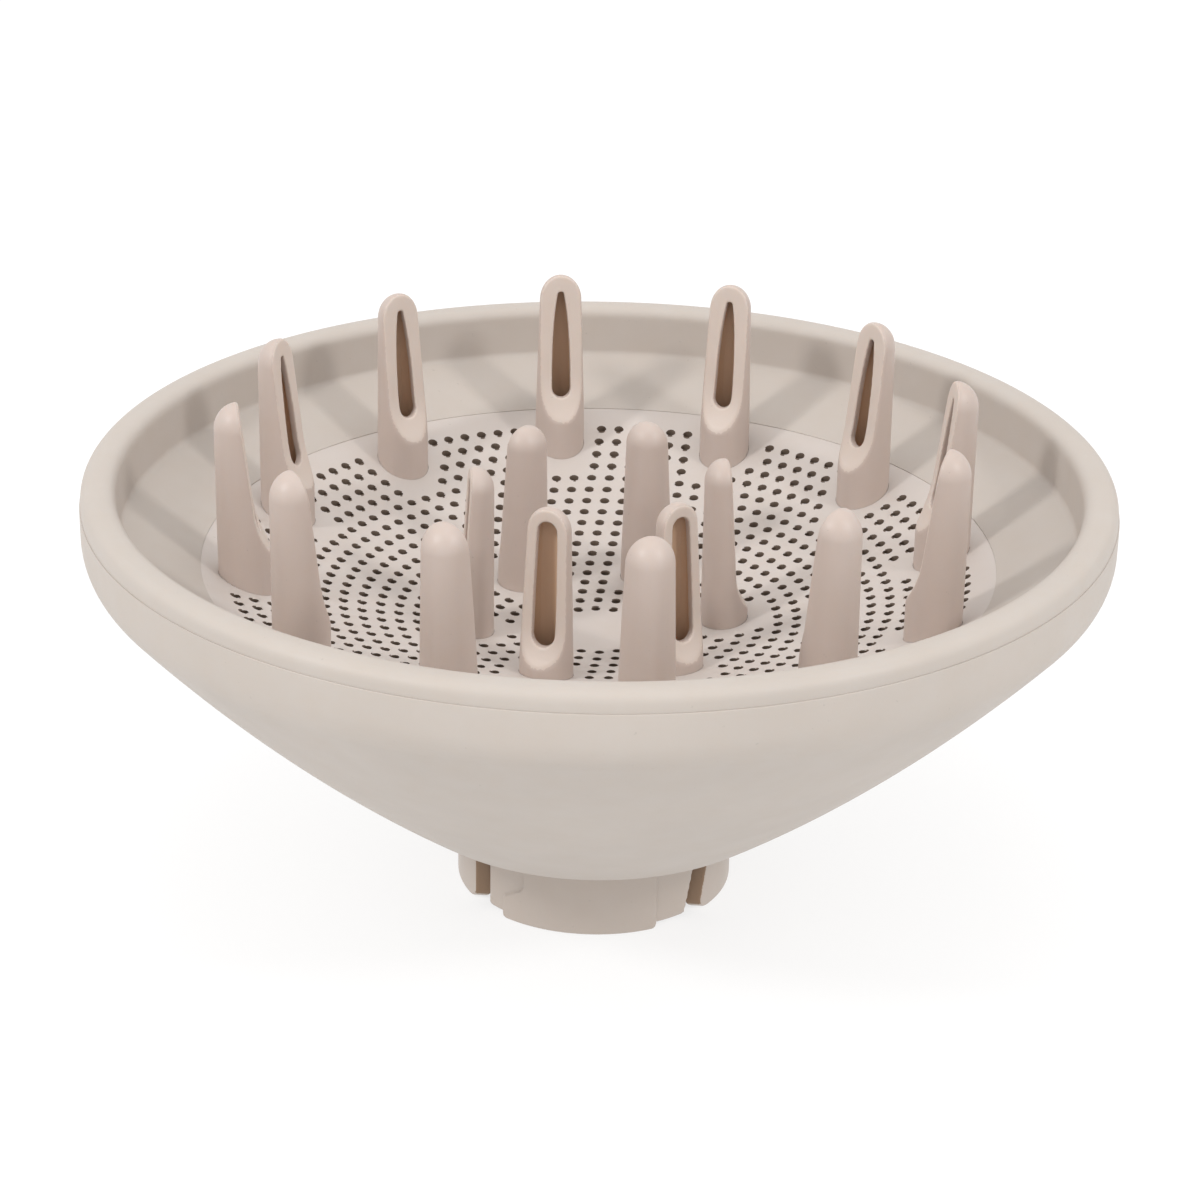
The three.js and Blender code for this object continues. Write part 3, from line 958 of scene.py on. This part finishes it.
shell_plastic = moulded_plastic("shell_plastic", (0.475, 0.425, 0.383), 0.55, 0.05)
plate_plastic = moulded_plastic("plate_plastic", (0.53, 0.475, 0.44), 0.5, 0.05)
# Near-black painted shade for the walls inside the plate's holes.
plate_hole_painted_shade = moulded_plastic("plate_hole_painted_shade", (0.12, 0.085, 0.062), 0.6, 0.0)
prong_plastic = moulded_plastic("prong_plastic", (0.50, 0.415, 0.37), 0.45, 0.15)
# A lighter copy of the prong plastic: painted light on the slot faces.
prong_face_painted_light = moulded_plastic("prong_face_painted_light", (0.585, 0.50, 0.445), 0.45, 0.2)
# Warm brown painted shade and painted glow of light through the plastic, for the hollow inside the prongs.
prong_inside_painted_shade = moulded_plastic("prong_inside_painted_shade", (0.56, 0.385, 0.265), 0.5, 0.15)
collar_plastic = moulded_plastic("collar_plastic", (0.45, 0.39, 0.345), 0.45, 0.05)
# Dark brown painted shade for the cut faces of the slots in the collar and tabs.
slot_painted_shade = moulded_plastic("slot_painted_shade", (0.22, 0.14, 0.085), 0.5, 0.05)

# ---------------------------------------------------------------- pieces


def settle(item, node, body, material):
    """Gives a piece its material, unless its faces have theirs, hides its CAD node and hangs the piece on the
    body it rides on.
    """
    if material:
        item.data.materials.append(material)
    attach(item, body)
    if node:
        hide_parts(node)


ROOT = "diffuser"
settle(rear_cone(), "rear_cone", ROOT, shell_plastic)
settle(front_bowl(), "front_bowl", ROOT, shell_plastic)
settle(perforated_plate(), "perforated_plate", ROOT, None)
settle(plate_boss(), None, ROOT, plate_plastic)
settle(air_deflector(), "air_deflector", ROOT, shell_plastic)
for label, kind in (("outer_prong", outer_prong), ("inner_prong", inner_prong)):
    prong_shape = prong_mesh(label, kind)
    for i, angle in enumerate(prong_angles(kind)):
        node = f"{label}_{i + 1:02d}"
        settle(placed(f"{node}_fine", prong_shape, angle), node, ROOT, None)
collar_piece = placed("dryer_collar_fine", collar_mesh("dryer_collar_fine"))
settle(collar_piece, "dryer_collar", ROOT, None)
tab_shape = tab_mesh("clip_tab")
for side, turn in (("right", 0), ("left", math.pi)):
    tab_piece = placed(f"clip_tab_{side}_fine", tab_shape, turn)
    settle(tab_piece, f"clip_tab_{side}", f"{side}_tab", None)

# ---------------------------------------------------------------- floor, light and camera


# The floor's width in metres, how much light it throws back and gives off, and the even light all round.
stage = Sizes(
    floor_size=3.0,
    floor_base=0.3,
    floor_glow=0.70,
    world_light=1.0,
)

view = Sizes(
    azimuth=7.6,
    elevation=22.08,
    distance=532.6,
    lens=99.35,
    sensor=36.0,
    pitch=2.283,
    yaw=0.034,
    roll=0.96,
)


def add_floor():
    """A wide white floor that glows a little, so that it runs into the white backdrop."""
    size = stage.floor_size
    corners = [(x, y, cad_low.z) for x, y in ((-size, -size), (size, -size), (size, size), (-size, size))]
    mesh = bpy.data.meshes.new("floor")
    mesh.from_pydata(corners, [], [(0, 1, 2, 3)])
    floor = bpy.data.objects.new("floor", mesh)
    bpy.context.scene.collection.objects.link(floor)
    nodes = Nodes("floor_white")
    nodes.shader.inputs["Base Color"].default_value = (*[stage.floor_base] * 3, 1)
    nodes.shader.inputs["Roughness"].default_value = 1.0
    nodes.shader.inputs["Specular IOR Level"].default_value = 0.0
    nodes.shader.inputs["Emission Color"].default_value = (1, 1, 1, 1)
    nodes.shader.inputs["Emission Strength"].default_value = stage.floor_glow
    floor.data.materials.append(nodes.material)


def direction(azimuth, elevation):
    """Unit vector from the object towards a viewer or a light, both angles in degrees."""
    a, e = math.radians(azimuth), math.radians(elevation)
    return Vector((math.sin(a) * math.cos(e), -math.cos(a) * math.cos(e), math.sin(e)))


def add_light(name, azimuth, elevation, distance, size, power):
    """A round lamp aimed at the middle of the rim, in metres and watts."""
    light = bpy.data.lights.new(name, "AREA")
    light.shape = "DISK"
    light.size = size
    light.energy = power
    lamp = bpy.data.objects.new(name, light)
    towards = direction(azimuth, elevation)
    lamp.location = Vector((0, 0, rim.top * MM)) + towards * distance
    lamp.rotation_mode = "QUATERNION"
    lamp.rotation_quaternion = towards.to_track_quat("Z", "Y")
    bpy.context.scene.collection.objects.link(lamp)


def add_camera():
    """The camera looks a little under the middle of the rim, and leans a little to its left."""
    data = bpy.data.cameras.new("camera")
    data.lens = view.lens
    data.sensor_width = view.sensor
    data.clip_start = 0.01
    camera = bpy.data.objects.new("camera", data)
    back = direction(view.azimuth, view.elevation)
    level = back.to_track_quat("Z", "Y").to_matrix()
    nod = Matrix.Rotation(math.radians(-view.pitch), 3, "X")
    lean = Matrix.Rotation(math.radians(view.roll), 3, "Z")
    tilt = Matrix.Rotation(math.radians(-view.yaw), 3, "Y") @ (nod @ lean)
    camera.rotation_mode = "QUATERNION"
    camera.rotation_quaternion = (level @ tilt).to_quaternion()
    camera.location = Vector((0, 0, rim.top * MM)) + back * view.distance * MM
    bpy.context.scene.collection.objects.link(camera)
    bpy.context.scene.camera = camera


add_floor()
world = bpy.data.worlds.new("studio")
world.use_nodes = True
background = world.node_tree.nodes["Background"]
background.inputs["Color"].default_value = (1, 1, 1, 1)
background.inputs["Strength"].default_value = stage.world_light
bpy.context.scene.world = world
add_light("key_left", view.azimuth - 56, elevation=38, distance=1.4, size=0.2, power=6.2)
add_light("key_right", view.azimuth + 52, elevation=38, distance=1.4, size=0.2, power=4.8)
add_light("overhead", 0, elevation=90, distance=1.2, size=0.9, power=1.7)
add_camera()
bpy.context.scene.view_settings.view_transform = "Standard"
